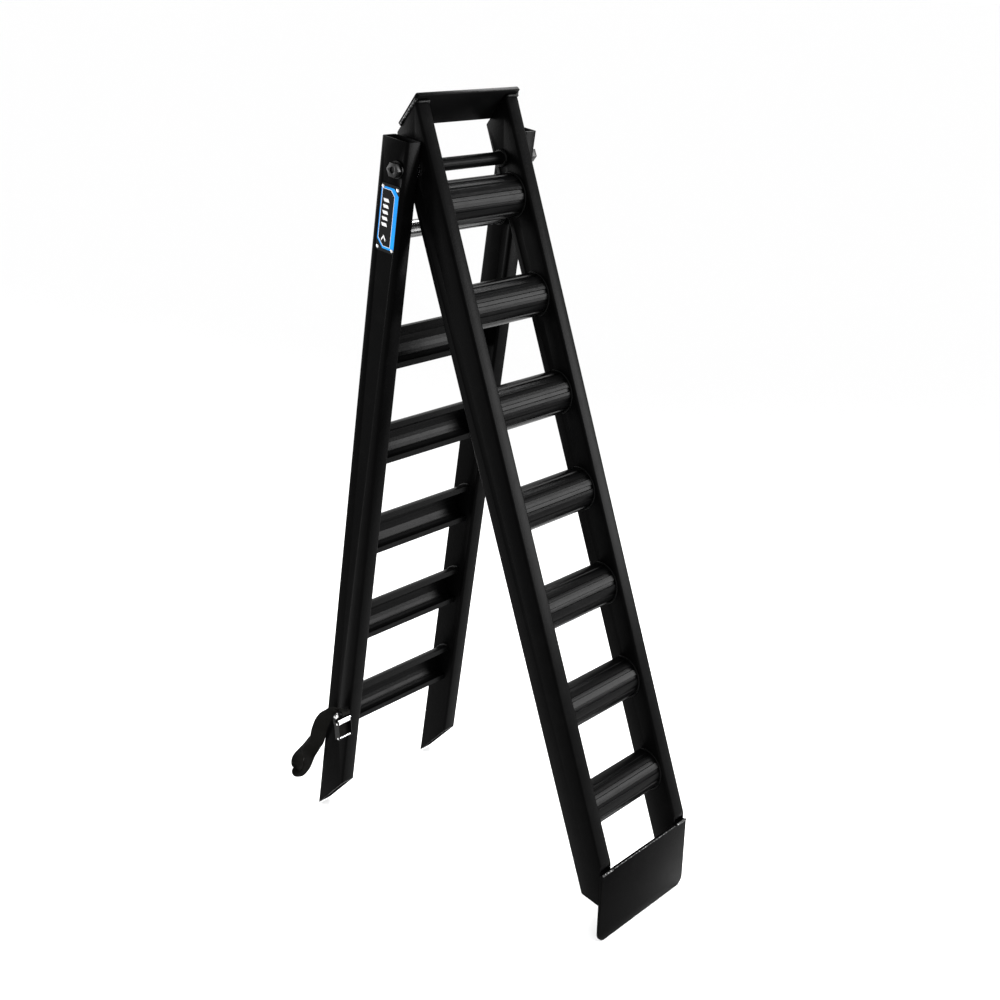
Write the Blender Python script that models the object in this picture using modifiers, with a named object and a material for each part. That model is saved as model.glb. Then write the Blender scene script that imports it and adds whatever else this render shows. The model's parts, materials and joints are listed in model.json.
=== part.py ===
"""Folding loading ramp for trucks and trailers, standing half open as an A-frame.

The narrow upper half hooks its lip over the tailgate. The wide lower half reaches the ground.
A long bolt joins the two, and a stop plate on the upper half meets a bar on the lower half
when the ramp lies straight. Each half is modelled along its own Z axis, hanging from an empty
on the hinge axis, and the empties lean the halves into the standing pose.
"""
import math

import bmesh
import bpy
from mathutils import Matrix, Vector

# Pose: the hinge centre and how far each half leans from upright.
HINGE = Vector((0.00820, 0.10501, 1.06575))
UPPER_LEAN = math.radians(21.1)
LOWER_LEAN = math.radians(6.6)

GAP = 0.0003                  # clearance between pieces that touch

# Rails: one box section for both halves. "Face" is measured out from the hinge axis to the
# side a wheel runs on, "down" from the hinge axis along the half.
RAIL_WIDTH = 0.027
RAIL_WALL = 0.003
RAIL_CORNER = 0.004
RAIL_CORNER_STEPS = 3
FACE = 0.036
BACK = -0.015
UPPER_WIDTH = 0.213
LOWER_WIDTH = 0.272

UPPER_TOP = 0.0829            # upper rails rise this far above the hinge on the face side
UPPER_TOP_SLOPE = math.radians(31.7)
UPPER_HEEL = 1.0631           # back corner of the upper rails' lower ends
UPPER_HEEL_SLOPE = math.radians(31.8)
LOWER_TOP = 0.0392
LOWER_TIP = 1.0768            # face corner of the lower rails' lower ends
LOWER_TIP_SLOPE = math.radians(53.7)

# Lip plate on the upper half's foot.
LIP_START = 1.0347
LIP_LENGTH = 0.1133
LIP_THICKNESS = 0.005
LIP_BEND = math.radians(19.8)
LIP_CORNER = 0.014

# Stop plate over the upper rails' top ends.
STOP_THICKNESS = 0.006
STOP_FRONT = -0.0082
STOP_REAR = 0.047

# Rungs: an arched channel, open at its back, with fluted grip on its nose.
RUNG_HALF = 0.0325
RUNG_NOSE = 0.0297
RUNG_BACK = 0.0010
RUNG_WALL = 0.0038
RUNG_LIP_THICKNESS = 0.0026
RUNG_LIP = 0.0090
FLUTE_DEPTH = 0.0016
FLUTE_PITCH = 27.0            # degrees round the nose
FLUTE_HALF = 4.6
LAND_HALF = 7.4
BEAD_ANGLE = 50.0             # stiffening beads inside the channel
BEAD_HEIGHT = 0.0014
UPPER_FIRST_RUNG = 0.0555
UPPER_PITCH = 0.1480
UPPER_RUNGS = 7
LOWER_FIRST_RUNG = 0.2650
LOWER_PITCH = 0.1525
LOWER_RUNGS = 5

# Cross tubes.
STOP_BAR_DOWN = 0.0921
STOP_BAR_FACE = 0.0140
STOP_BAR_RADIUS = 0.0127
STOP_BAR_WALL = 0.0025
HINGE_TUBE_RADIUS = 0.0095
BORE_RADIUS = 0.0065

# Hinge hardware, M12.
BOLT_RADIUS = 0.006
HEX_RADIUS = 0.01097
HEAD_HEIGHT = 0.0075
HEAD_DISH_RADIUS = 0.0045
HEAD_DISH_DEPTH = 0.003
NUT_HEIGHT = 0.0105
WASHER_RADIUS = 0.0120
WASHER_THICKNESS = 0.0022
SPACER_RADIUS = 0.0155
BOLT_PROUD = 0.003

# Nameplate and its rivets on the left lower rail.
PLATE_WIDTH = 0.0355
PLATE_LENGTH = 0.095
PLATE_THICKNESS = 0.0008
PLATE_CORNER = 0.003
PLATE_FACE = 0.0080
PLATE_DOWN = 0.0700
RIVET_FACE_STEP = 0.0140
RIVET_DOWN_STEP = 0.0426
RIVET_HOLE = 0.0017
RIVET_SHANK = 0.0014
RIVET_HEAD = 0.0026

# Tie strap bolted to the left lower rail.
WEB_WIDTH = 0.025
WEB_THICKNESS = 0.0016
ANCHOR_DOWN = 0.8885
ANCHOR_FACE = 0.0110
ANCHOR_HEAD_RADIUS = 0.0065
ANCHOR_HEAD_HEIGHT = 0.0030
ANCHOR_SHANK = 0.0030
BRACKET_WALL = 0.0015
BRACKET_REACH = 0.0330
BRACKET_FLANGE = 0.0110
BRACKET_WIDTH = 0.0240
BRACKET_RISE = 0.0040         # the bracket's middle lies this far above the buckle's
BUCKLE_OUT = 0.0150           # buckle's middle from the rail's side
BUCKLE_DOWN = 0.8928
BUCKLE_FACE = -0.0141
BUCKLE_TILT = math.radians(-13.1)
BUCKLE_WIDTH = 0.0280
BUCKLE_LENGTH = 0.0300
BUCKLE_WALL = 0.0012
BUCKLE_DEPTH = 0.0095
BAR_RADIUS = 0.0016
LEVER_LENGTH = 0.0080
LEVER_THICKNESS = 0.0030
LEVER_REST = math.radians(25.0)

LEFT = -1
RIGHT = 1
CIRCLE_STEPS = 24


def clear_scene():
    for obj in list(bpy.data.objects):
        bpy.data.objects.remove(obj, do_unlink=True)


def new_collection(name):
    collection = bpy.data.collections.new(name)
    bpy.context.scene.collection.children.link(collection)
    return collection


def make_material(name, colour, roughness, metallic):
    material = bpy.data.materials.new(name)
    material.use_nodes = True
    shader = material.node_tree.nodes["Principled BSDF"]
    shader.inputs["Base Color"].default_value = (*colour, 1.0)
    shader.inputs["Roughness"].default_value = roughness
    shader.inputs["Metallic"].default_value = metallic
    material.diffuse_color = (*colour, 1.0)
    return material


FINISHES = {
    "black": ((0.012, 0.012, 0.013), 0.42, 0.0),
    "bolt": ((0.045, 0.045, 0.050), 0.45, 1.0),
    "steel": ((0.62, 0.63, 0.65), 0.25, 1.0),
    "label": ((0.03, 0.12, 0.22), 0.35, 0.0),
    "webbing": ((0.012, 0.012, 0.012), 0.85, 0.0),
}


# ---------------------------------------------------------------- placing and making pieces

def half_empty(name, lean, collection):
    """An empty on the hinge axis; what hangs from it is modelled upright."""
    empty = bpy.data.objects.new(name, None)
    empty.empty_display_size = 0.1
    empty.location = HINGE
    empty.rotation_euler = (lean, 0.0, 0.0)
    collection.objects.link(empty)
    return empty


def place(obj, parent, location=(0.0, 0.0, 0.0), rotation=(0.0, 0.0, 0.0)):
    obj.parent = parent
    obj.location = location
    obj.rotation_euler = rotation
    return obj


def finish(obj, finish_name):
    colour, roughness, metallic = FINISHES[finish_name]
    obj.data.materials.clear()
    obj.data.materials.append(make_material(obj.name, colour, roughness, metallic))
    return obj


def outline_piece(name, collection, loops, depth):
    """A flat outline, given as closed loops of points, filled and extruded to a welded mesh."""
    curve = bpy.data.curves.new(name, "CURVE")
    curve.dimensions = "2D"
    curve.fill_mode = "BOTH"
    curve.extrude = depth / 2
    for loop in loops:
        spline = curve.splines.new("POLY")
        spline.points.add(len(loop) - 1)
        for point, (x, y) in zip(spline.points, loop):
            point.co = (x, y, 0.0, 1.0)
        spline.use_cyclic_u = True
    source = bpy.data.objects.new(name + "_curve", curve)
    collection.objects.link(source)
    bpy.context.view_layer.update()
    evaluated = source.evaluated_get(bpy.context.evaluated_depsgraph_get())
    mesh = bpy.data.meshes.new_from_object(evaluated)
    world = source.matrix_world.copy()
    bpy.data.objects.remove(source, do_unlink=True)
    weld(mesh)
    mesh.name = name
    obj = bpy.data.objects.new(name, mesh)
    obj.matrix_world = world
    collection.objects.link(obj)
    return obj


def weld(mesh):
    shape = bmesh.new()
    shape.from_mesh(mesh)
    bmesh.ops.remove_doubles(shape, verts=shape.verts, dist=1e-6)
    bmesh.ops.recalc_face_normals(shape, faces=shape.faces)
    shape.to_mesh(mesh)
    shape.free()


def mesh_piece(name, collection, shape):
    mesh = bpy.data.meshes.new(name)
    shape.to_mesh(mesh)
    shape.free()
    obj = bpy.data.objects.new(name, mesh)
    collection.objects.link(obj)
    return obj


def cylinder(name, collection, radius, length, steps=CIRCLE_STEPS):
    """A cylinder, or a hexagon with six steps, that runs along X."""
    shape = bmesh.new()
    bmesh.ops.create_cone(shape, cap_ends=True, segments=steps, radius1=radius, radius2=radius,
                          depth=length, matrix=Matrix.Rotation(math.pi / 2, 4, "Y"))
    return mesh_piece(name, collection, shape)


def box(name, collection, size):
    shape = bmesh.new()
    bmesh.ops.create_cube(shape, size=1.0, matrix=Matrix.Diagonal((*size, 1.0)))
    return mesh_piece(name, collection, shape)


def as_cutter(obj):
    obj.hide_render = True
    obj.display_type = "WIRE"
    return obj


def boolean(obj, other, operation):
    modifier = obj.modifiers.new(f"{operation.lower()} {other.name}", "BOOLEAN")
    modifier.operation = operation
    modifier.solver = "EXACT"
    modifier.object = other


def trim(pieces, name, parent, point, outward, cutters):
    """Cut each piece off beyond a plane through a (y, z) point with a (y, z) outward normal."""
    size = 0.3
    block = as_cutter(box(name, cutters, (size, size, size)))
    centre = Vector((0.0, *point)) + Vector((0.0, *outward)) * size / 2
    place(block, parent, centre, (math.atan2(outward[1], outward[0]), 0.0, 0.0))
    for piece in pieces:
        boolean(piece, block, "DIFFERENCE")


# ---------------------------------------------------------------- outlines

def arc(centre, radius, start, end, steps):
    """Points round part of a circle, angles in degrees."""
    points = []
    for step in range(steps + 1):
        angle = math.radians(start + (end - start) * step / steps)
        points.append((centre[0] + radius * math.cos(angle), centre[1] + radius * math.sin(angle)))
    return points


def rounded_rectangle(low, high, radius, steps):
    corners = (
        ((high[0] - radius, high[1] - radius), 0),
        ((low[0] + radius, high[1] - radius), 90),
        ((low[0] + radius, low[1] + radius), 180),
        ((high[0] - radius, low[1] + radius), 270),
    )
    points = []
    for centre, start in corners:
        points += arc(centre, radius, start, start + 90, steps)
    return points


def on_nose(inset, degrees):
    """A point of the rung's half-elliptical section, set in from its outer face."""
    angle = math.radians(degrees)
    depth = RUNG_NOSE - RUNG_BACK - inset
    return RUNG_BACK + depth * math.cos(angle), (RUNG_HALF - inset) * math.sin(angle)


def fluted_nose():
    """The rung's outer face from its lower to its upper edge: six lands between five flutes."""
    points = [on_nose(0.0, -90.0), on_nose(0.0, -82.0)]
    lands = [FLUTE_PITCH * (index - 2.5) for index in range(6)]
    for land in lands:
        for offset in (-LAND_HALF, 0.0, LAND_HALF):
            points.append(on_nose(0.0, land + offset))
        if land == lands[-1]:
            break
        for offset in (-FLUTE_HALF, 0.0, FLUTE_HALF):
            points.append(on_nose(FLUTE_DEPTH, land + FLUTE_PITCH / 2 + offset))
    points += [on_nose(0.0, 82.0), on_nose(0.0, 90.0)]
    return points


def channel_inside():
    """The channel's inner wall, from its upper to its lower end, with two stiffening beads."""
    ends = (84, 74, 62)
    points = [on_nose(RUNG_WALL, angle) for angle in ends]
    points += bead(BEAD_ANGLE)
    points += [on_nose(RUNG_WALL, angle) for angle in (36, 24, 12, 0, -12, -24, -36)]
    points += bead(-BEAD_ANGLE)
    points += [on_nose(RUNG_WALL, -angle) for angle in reversed(ends)]
    return points


def bead(degrees):
    return [
        on_nose(RUNG_WALL, degrees + 2.6),
        on_nose(RUNG_WALL + BEAD_HEIGHT, degrees + 1.2),
        on_nose(RUNG_WALL + BEAD_HEIGHT, degrees - 1.2),
        on_nose(RUNG_WALL, degrees - 2.6),
    ]


def rung_outline():
    """The rung's section as (face, up) points."""
    floor = RUNG_BACK + RUNG_LIP_THICKNESS
    inner_end = RUNG_HALF - RUNG_LIP
    points = fluted_nose() + [(RUNG_BACK, inner_end), (floor, inner_end)]
    points += channel_inside() + [(floor, -inner_end), (RUNG_BACK, -inner_end)]
    return points


# Turns an outline's X, Y and extrusion into a half's Y, Z and X.
ACROSS = Matrix(((0, 0, 1), (1, 0, 0), (0, 1, 0))).to_euler()


# ---------------------------------------------------------------- shared pieces of both halves

def rail(name, parts, parent, centre_x, facing, top, bottom):
    """A box tube along Z; facing is the Y direction of its running face."""
    half_width = RAIL_WIDTH / 2
    low, high = sorted((facing * FACE, facing * BACK))
    outer = rounded_rectangle((-half_width, low), (half_width, high), RAIL_CORNER, RAIL_CORNER_STEPS)
    inset = RAIL_WALL
    inner = rounded_rectangle((inset - half_width, low + inset), (half_width - inset, high - inset),
                              RAIL_CORNER - RAIL_WALL, 2)
    tube = outline_piece(name, parts, [outer, inner], top - bottom)
    place(tube, parent, (centre_x, 0.0, (top + bottom) / 2))
    return finish(tube, "black")


def rung(name, parts, parent, facing, down, span):
    outline = [(facing * face, up) for face, up in rung_outline()]
    piece = outline_piece(name, parts, [outline], span)
    place(piece, parent, (0.0, 0.0, -down), ACROSS)
    return finish(piece, "black")


def ring(name, parts, parent, outer, inner, length, location, finish_name):
    """A tube, washer or sleeve along X."""
    loops = [arc((0, 0), radius, 0, 345, CIRCLE_STEPS - 1) for radius in (outer, inner)]
    piece = outline_piece(name, parts, loops, length)
    place(piece, parent, location, ACROSS)
    return finish(piece, finish_name)


# ---------------------------------------------------------------- upper half

def upper_half(parts, cutters, parent):
    rail_x = (UPPER_WIDTH - RAIL_WIDTH) / 2
    span = UPPER_WIDTH - 2 * RAIL_WIDTH - 2 * GAP
    rails = [
        rail("upper_rail_left", parts, parent, LEFT * rail_x, -1, UPPER_TOP, -UPPER_HEEL - 0.04),
        rail("upper_rail_right", parts, parent, RIGHT * rail_x, -1, UPPER_TOP, -UPPER_HEEL - 0.04),
    ]
    top = (math.sin(UPPER_TOP_SLOPE), math.cos(UPPER_TOP_SLOPE))
    trim(rails, "cut_upper_top", parent, (-FACE, UPPER_TOP), top, cutters)
    heel = (math.sin(UPPER_HEEL_SLOPE), -math.cos(UPPER_HEEL_SLOPE))
    trim(rails, "cut_upper_heel", parent, (-BACK, -UPPER_HEEL), heel, cutters)
    lip = (-math.cos(LIP_BEND), -math.sin(LIP_BEND))
    recess = LIP_THICKNESS + GAP
    seat = (-FACE - lip[0] * recess, -LIP_START - lip[1] * recess)
    trim(rails, "cut_upper_lip", parent, seat, lip, cutters)
    bore = as_cutter(cylinder("cut_upper_bore", cutters, BORE_RADIUS, UPPER_WIDTH + 0.02))
    place(bore, parent)
    for piece in rails:
        boolean(piece, bore, "DIFFERENCE")

    for index in range(UPPER_RUNGS):
        down = UPPER_FIRST_RUNG + index * UPPER_PITCH
        rung(f"upper_rung_{index + 1}", parts, parent, -1, down, span)
    ring("hinge_tube", parts, parent, HINGE_TUBE_RADIUS, BORE_RADIUS, span, (0, 0, 0), "black")
    lip_plate(parts, parent, lip)
    stop_plate(parts, parent, top)


def lip_plate(parts, parent, outward):
    half_width = UPPER_WIDTH / 2
    half_length = LIP_LENGTH / 2
    outline = [(half_width, half_length), (-half_width, half_length)]
    outline += arc((LIP_CORNER - half_width, LIP_CORNER - half_length), LIP_CORNER, 180, 270, 6)
    outline += arc((half_width - LIP_CORNER, LIP_CORNER - half_length), LIP_CORNER, 270, 360, 6)
    plate = outline_piece("lip_plate", parts, [outline], LIP_THICKNESS)
    along = Vector((0.0, math.sin(LIP_BEND), -math.cos(LIP_BEND)))
    start = Vector((0.0, -FACE, -LIP_START)) - Vector((0.0, *outward)) * LIP_THICKNESS / 2
    place(plate, parent, start + along * half_length, (math.pi / 2 + LIP_BEND, 0.0, 0.0))
    finish(plate, "black")


def stop_plate(parts, parent, outward):
    half_width = UPPER_WIDTH / 2
    outline = rounded_rectangle((-half_width, STOP_FRONT), (half_width, STOP_REAR), 0.002, 2)
    plate = outline_piece("stop_plate", parts, [outline], STOP_THICKNESS)
    seat = Vector((0.0, -FACE, UPPER_TOP)) + Vector((0.0, *outward)) * (STOP_THICKNESS / 2 + GAP)
    place(plate, parent, seat, (-UPPER_TOP_SLOPE, 0.0, 0.0))
    finish(plate, "black")


# ---------------------------------------------------------------- lower half

def lower_half(parts, cutters, parent):
    rail_x = (LOWER_WIDTH - RAIL_WIDTH) / 2
    span = LOWER_WIDTH - 2 * RAIL_WIDTH - 2 * GAP
    rails = [
        rail("lower_rail_left", parts, parent, LEFT * rail_x, 1, LOWER_TOP, -LOWER_TIP),
        rail("lower_rail_right", parts, parent, RIGHT * rail_x, 1, LOWER_TOP, -LOWER_TIP),
    ]
    foot = (-math.sin(LOWER_TIP_SLOPE), -math.cos(LOWER_TIP_SLOPE))
    trim(rails, "cut_lower_foot", parent, (FACE, -LOWER_TIP), foot, cutters)
    bore = as_cutter(cylinder("cut_lower_bore", cutters, BORE_RADIUS, LOWER_WIDTH + 0.02))
    place(bore, parent)
    for piece in rails:
        boolean(piece, bore, "DIFFERENCE")

    for index in range(LOWER_RUNGS):
        down = LOWER_FIRST_RUNG + index * LOWER_PITCH
        rung(f"lower_rung_{index + 1}", parts, parent, 1, down, span)
    ring("stop_bar", parts, parent, STOP_BAR_RADIUS, STOP_BAR_RADIUS - STOP_BAR_WALL, span,
         (0.0, STOP_BAR_FACE, -STOP_BAR_DOWN), "black")
    hinge_hardware(parts, cutters, parent)
    nameplate(parts, cutters, parent, rails[0])
    tie_strap(parts, cutters, parent, rails[0])


def hinge_hardware(parts, cutters, parent):
    side = LOWER_WIDTH / 2
    seat = side + 2 * GAP + WASHER_THICKNESS
    washer_x = side + GAP + WASHER_THICKNESS / 2
    ring("head_washer", parts, parent, WASHER_RADIUS, BORE_RADIUS, WASHER_THICKNESS,
         (LEFT * washer_x, 0, 0), "bolt")
    ring("nut_washer", parts, parent, WASHER_RADIUS, BORE_RADIUS, WASHER_THICKNESS,
         (RIGHT * washer_x, 0, 0), "bolt")

    inner_side = side - RAIL_WIDTH
    outer_side = UPPER_WIDTH / 2
    spacer = inner_side - outer_side - 2 * GAP
    for name, hand in (("spacer_left", LEFT), ("spacer_right", RIGHT)):
        ring(name, parts, parent, SPACER_RADIUS, BORE_RADIUS, spacer,
             (hand * (inner_side + outer_side) / 2, 0, 0), "steel")

    tip = seat + NUT_HEIGHT + BOLT_PROUD
    bolt = cylinder("hinge_bolt", parts, BOLT_RADIUS, seat + tip)
    place(bolt, parent, ((tip - seat) / 2, 0, 0))
    head = as_cutter(cylinder("add_bolt_head", cutters, HEX_RADIUS, HEAD_HEIGHT, 6))
    place(head, parent, (-seat - HEAD_HEIGHT / 2, 0, 0))
    bolt.data.transform(Matrix.Translation((-0.002, 0, 0)))
    boolean(bolt, head, "UNION")
    dish = as_cutter(cylinder("cut_head_dish", cutters, HEAD_DISH_RADIUS, 2 * HEAD_DISH_DEPTH))
    place(dish, parent, (-seat - HEAD_HEIGHT, 0, 0))
    boolean(bolt, dish, "DIFFERENCE")
    finish(bolt, "bolt")

    nut = cylinder("hinge_nut", parts, HEX_RADIUS, NUT_HEIGHT, 6)
    place(nut, parent, (seat + NUT_HEIGHT / 2, 0, 0))
    thread = as_cutter(cylinder("cut_nut", cutters, BOLT_RADIUS + GAP, NUT_HEIGHT * 2))
    place(thread, parent, (seat + NUT_HEIGHT / 2, 0, 0))
    boolean(nut, thread, "DIFFERENCE")
    finish(nut, "bolt")


def nameplate(parts, cutters, parent, rail_piece):
    """A thin label plate on the rail's outer side, held by four rivets."""
    side = -LOWER_WIDTH / 2
    half = (PLATE_WIDTH / 2, PLATE_LENGTH / 2)
    outline = rounded_rectangle((-half[0], -half[1]), half, PLATE_CORNER, 4)
    plate = outline_piece("nameplate", parts, [outline], PLATE_THICKNESS)
    place(plate, parent, (side - GAP - PLATE_THICKNESS / 2, PLATE_FACE, -PLATE_DOWN), ACROSS)
    finish(plate, "label")
    number = 0
    for down_sign in (-1, 1):
        for face_sign in (1, -1):
            number += 1
            spot = (PLATE_FACE + face_sign * RIVET_FACE_STEP,
                    -PLATE_DOWN - down_sign * RIVET_DOWN_STEP)
            hole = as_cutter(cylinder(f"cut_rivet_{number}", cutters, RIVET_HOLE, 0.012, 12))
            place(hole, parent, (side, *spot))
            boolean(plate, hole, "DIFFERENCE")
            boolean(rail_piece, hole, "DIFFERENCE")
            rivet(f"nameplate_rivet_{number}", parts, parent,
                  (side - 2 * GAP - PLATE_THICKNESS, *spot))


def rivet(name, parts, parent, location):
    """A domed head outside the plate and a shank through the rail's wall."""
    shank_end = 2 * GAP + PLATE_THICKNESS + RAIL_WALL
    dome = [(RIVET_HEAD, 0.0), (RIVET_HEAD * 0.92, 0.0006), (RIVET_HEAD * 0.6, 0.0011), (0.0, 0.0013)]
    profile = [(0.0, -shank_end), (RIVET_SHANK, -shank_end), (RIVET_SHANK, 0.0)] + dome
    return turned(name, parts, parent, location, profile, "steel", 12)


def turned(name, parts, parent, location, profile, finish_name, steps):
    """A (radius, height) profile, from its base up, turned about an axis that points left."""
    shape = bmesh.new()
    verts = [shape.verts.new((radius, 0.0, height)) for radius, height in reversed(profile)]
    for upper, lower in zip(verts, verts[1:]):
        shape.edges.new((upper, lower))
    piece = mesh_piece(name, parts, shape)
    screw = piece.modifiers.new("turn", "SCREW")
    screw.steps = screw.render_steps = steps
    screw.use_merge_vertices = True
    screw.merge_threshold = 0.00001
    place(piece, parent, location, (0.0, -math.pi / 2, 0.0))
    return finish(piece, finish_name)


# ---------------------------------------------------------------- tie strap

def tie_strap(parts, cutters, parent, rail_piece):
    buckle_empty = bpy.data.objects.new("buckle", None)
    buckle_empty.empty_display_size = 0.02
    parts.objects.link(buckle_empty)
    side = -LOWER_WIDTH / 2
    # Buckle axes: X out of the buckle, Y across the strap, Z up the strap.
    place(buckle_empty, parent, (side - BUCKLE_OUT, BUCKLE_FACE, -BUCKLE_DOWN),
          (0.0, BUCKLE_TILT, -math.pi / 2))
    hole = as_cutter(cylinder("cut_anchor", cutters, ANCHOR_SHANK + GAP, 0.014, 16))
    place(hole, parent, (side, ANCHOR_FACE, -ANCHOR_DOWN))
    boolean(rail_piece, hole, "DIFFERENCE")
    bracket(parts, buckle_empty, hole)
    turned("strap_anchor", parts, parent, (side - 2 * GAP - BRACKET_WALL, ANCHOR_FACE, -ANCHOR_DOWN),
           anchor_profile(), "steel", 20)
    buckle(parts, cutters, buckle_empty)
    strap_tail(parts, parent)


def anchor_profile():
    """Radius and height up the shank and over the button head."""
    shank_end = 2 * GAP + BRACKET_WALL + RAIL_WALL
    head = [(1.0, 0.0), (1.0, 0.3), (0.93, 0.62), (0.75, 0.86), (0.45, 0.97), (0.0, 1.0)]
    profile = [(0.0, -shank_end), (ANCHOR_SHANK, -shank_end), (ANCHOR_SHANK, 0.0)]
    profile += [(radius * ANCHOR_HEAD_RADIUS, up * ANCHOR_HEAD_HEIGHT) for radius, up in head]
    return profile


def bracket(parts, buckle_empty, hole):
    """A bent plate: one leg on the rail's side under the anchor, the other behind the buckle."""
    side = BUCKLE_OUT - GAP
    inner = side - BRACKET_WALL
    outline = [(0.0, -BRACKET_FLANGE), (0.0, side), (-BRACKET_REACH, side), (-BRACKET_REACH, inner),
               (-BRACKET_WALL, inner), (-BRACKET_WALL, -BRACKET_FLANGE)]
    piece = outline_piece("buckle_bracket", parts, [outline], BRACKET_WIDTH)
    place(piece, buckle_empty, (0.0, 0.0, BRACKET_RISE))
    boolean(piece, hole, "DIFFERENCE")
    finish(piece, "bolt")


def buckle(parts, cutters, parent):
    """A cam buckle: a folded frame, two bars and the lever that pivots on the upper bar."""
    base = box("buckle_frame", parts, (BUCKLE_WALL, BUCKLE_WIDTH, BUCKLE_LENGTH))
    place(base, parent, (BUCKLE_WALL / 2 + GAP, 0, 0))
    cheek_y = (BUCKLE_WIDTH - BUCKLE_WALL) / 2
    for name, hand in (("add_cheek_outer", -1), ("add_cheek_inner", 1)):
        cheek = as_cutter(box(name, cutters, (BUCKLE_DEPTH, BUCKLE_WALL, BUCKLE_LENGTH)))
        place(cheek, parent, (BUCKLE_DEPTH / 2 + GAP, hand * cheek_y, 0))
        boolean(base, cheek, "UNION")
    bar_x = BUCKLE_DEPTH - BAR_RADIUS - 0.001
    bar_z = BUCKLE_LENGTH / 2 - BAR_RADIUS - 0.001
    for name, end in (("buckle_bar_top", 1), ("buckle_bar_bottom", -1)):
        hole = as_cutter(cylinder("cut_" + name, cutters, BAR_RADIUS + GAP, BUCKLE_WIDTH * 2, 12))
        place(hole, parent, (bar_x, 0, end * bar_z), (0, 0, math.pi / 2))
        boolean(base, hole, "DIFFERENCE")
        bar = cylinder(name, parts, BAR_RADIUS, BUCKLE_WIDTH + 0.001, 12)
        place(bar, parent, (bar_x, 0, end * bar_z), (0, 0, math.pi / 2))
        finish(bar, "steel")
    finish(base, "bolt")
    lever(parts, parent, bar_x, bar_z)


def lever(parts, parent, pivot_x, pivot_z):
    """The lever's round eye turns on the upper bar and its thumb edge stands above it."""
    width = BUCKLE_WIDTH - 2 * BUCKLE_WALL - 0.0016
    eye = BAR_RADIUS + 0.0013
    pad = LEVER_THICKNESS / 2
    outline = arc((0, 0), eye, 150, 390, 10)
    outline += [(pad, 0.0035), (pad, LEVER_LENGTH - pad)]
    outline += arc((0.0, LEVER_LENGTH - pad), pad, 0, 180, 6)
    outline += [(-pad, 0.0035)]
    hole = arc((0, 0), BAR_RADIUS + GAP, 0, 330, 11)
    piece = outline_piece("buckle_lever", parts, [outline, hole], width)
    # The outline's X points out of the buckle, its Y up the strap, and it is wide along Y.
    turn = Matrix(((1, 0, 0), (0, 0, -1), (0, 1, 0)))
    tilt = Matrix.Rotation(LEVER_REST, 3, "Y")
    place(piece, parent, (pivot_x, 0, pivot_z), (tilt @ turn).to_euler())
    finish(piece, "steel")


def ribbon(name, parts, stations, width, thickness):
    """A strip through stations of (centre, width direction), thickened on both sides."""
    shape = bmesh.new()
    rows = []
    centres = [centre for centre, across in stations]
    neighbours = zip(centres[:1] + centres, centres[1:] + centres[-1:])
    for (centre, across), (before, after) in zip(stations, neighbours):
        along = (after - before).normalized()
        square = across - along * across.dot(along)
        reach = square.normalized() * width / 2
        rows.append((shape.verts.new(centre - reach), shape.verts.new(centre + reach)))
    for near, far in zip(rows, rows[1:]):
        shape.faces.new((near[0], near[1], far[1], far[0]))
    piece = mesh_piece(name, parts, shape)
    solid = piece.modifiers.new("webbing", "SOLIDIFY")
    solid.thickness = thickness
    solid.offset = 0.0
    return finish(piece, "webbing")


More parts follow.
